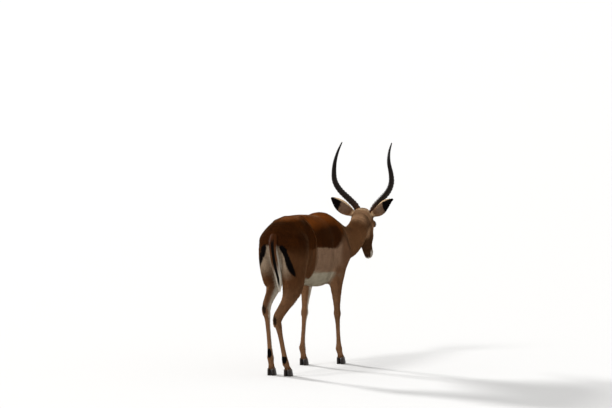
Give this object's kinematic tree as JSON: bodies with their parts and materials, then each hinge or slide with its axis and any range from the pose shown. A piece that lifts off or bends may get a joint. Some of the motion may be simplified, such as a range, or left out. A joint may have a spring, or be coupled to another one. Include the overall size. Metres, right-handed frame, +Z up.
{
  "type": "impala ram",
  "caption": "Life-size male impala standing in mid step, head lowered, with lyre-shaped ringed horns, slim legs, black-striped rump and cloven hooves.",
  "frame": {"origin": "on the floor, under the middle of the animal's bounding box", "axes": "+Z up; the animal faces -Y, so its right side is towards -X and its left side towards +X"},
  "size_m": [0.4186, 1.4266, 1.2695],
  "materials": {
    "saddle_coat": "short glossy red-brown hair",
    "fawn_coat": "short fawn hair, white below",
    "ear_coat": "short grey-fawn hair with black tips",
    "tail_hair": "long white hair with a black stripe",
    "horn": "dark ringed horn, smooth at the tips",
    "hoof": "dark smooth horn",
    "eye": "wet dark brown"
  },
  "bodies": {
    "root": {"ear_left": "ear_coat", "ear_right": "ear_coat", "eye_left": "eye", "eye_right": "eye", "fore_left_hoof_inner": "hoof", "fore_left_hoof_outer": "hoof", "fore_left_lower_leg": "fawn_coat", "fore_left_upper_leg": "fawn_coat", "fore_right_hoof_inner": "hoof", "fore_right_hoof_outer": "hoof", "fore_right_lower_leg": "fawn_coat", "fore_right_upper_leg": "fawn_coat", "head": "fawn_coat", "hind_left_hoof_inner": "hoof", "hind_left_hoof_outer": "hoof", "hind_left_lower_leg": "fawn_coat", "hind_left_upper_leg": "fawn_coat", "hind_right_hoof_inner": "hoof", "hind_right_hoof_outer": "hoof", "hind_right_lower_leg": "fawn_coat", "hind_right_upper_leg": "fawn_coat", "horn_left": "horn", "horn_right": "horn", "neck": "fawn_coat", "tail": "tail_hair", "trunk": "saddle_coat"}
  },
  "joints": []
}
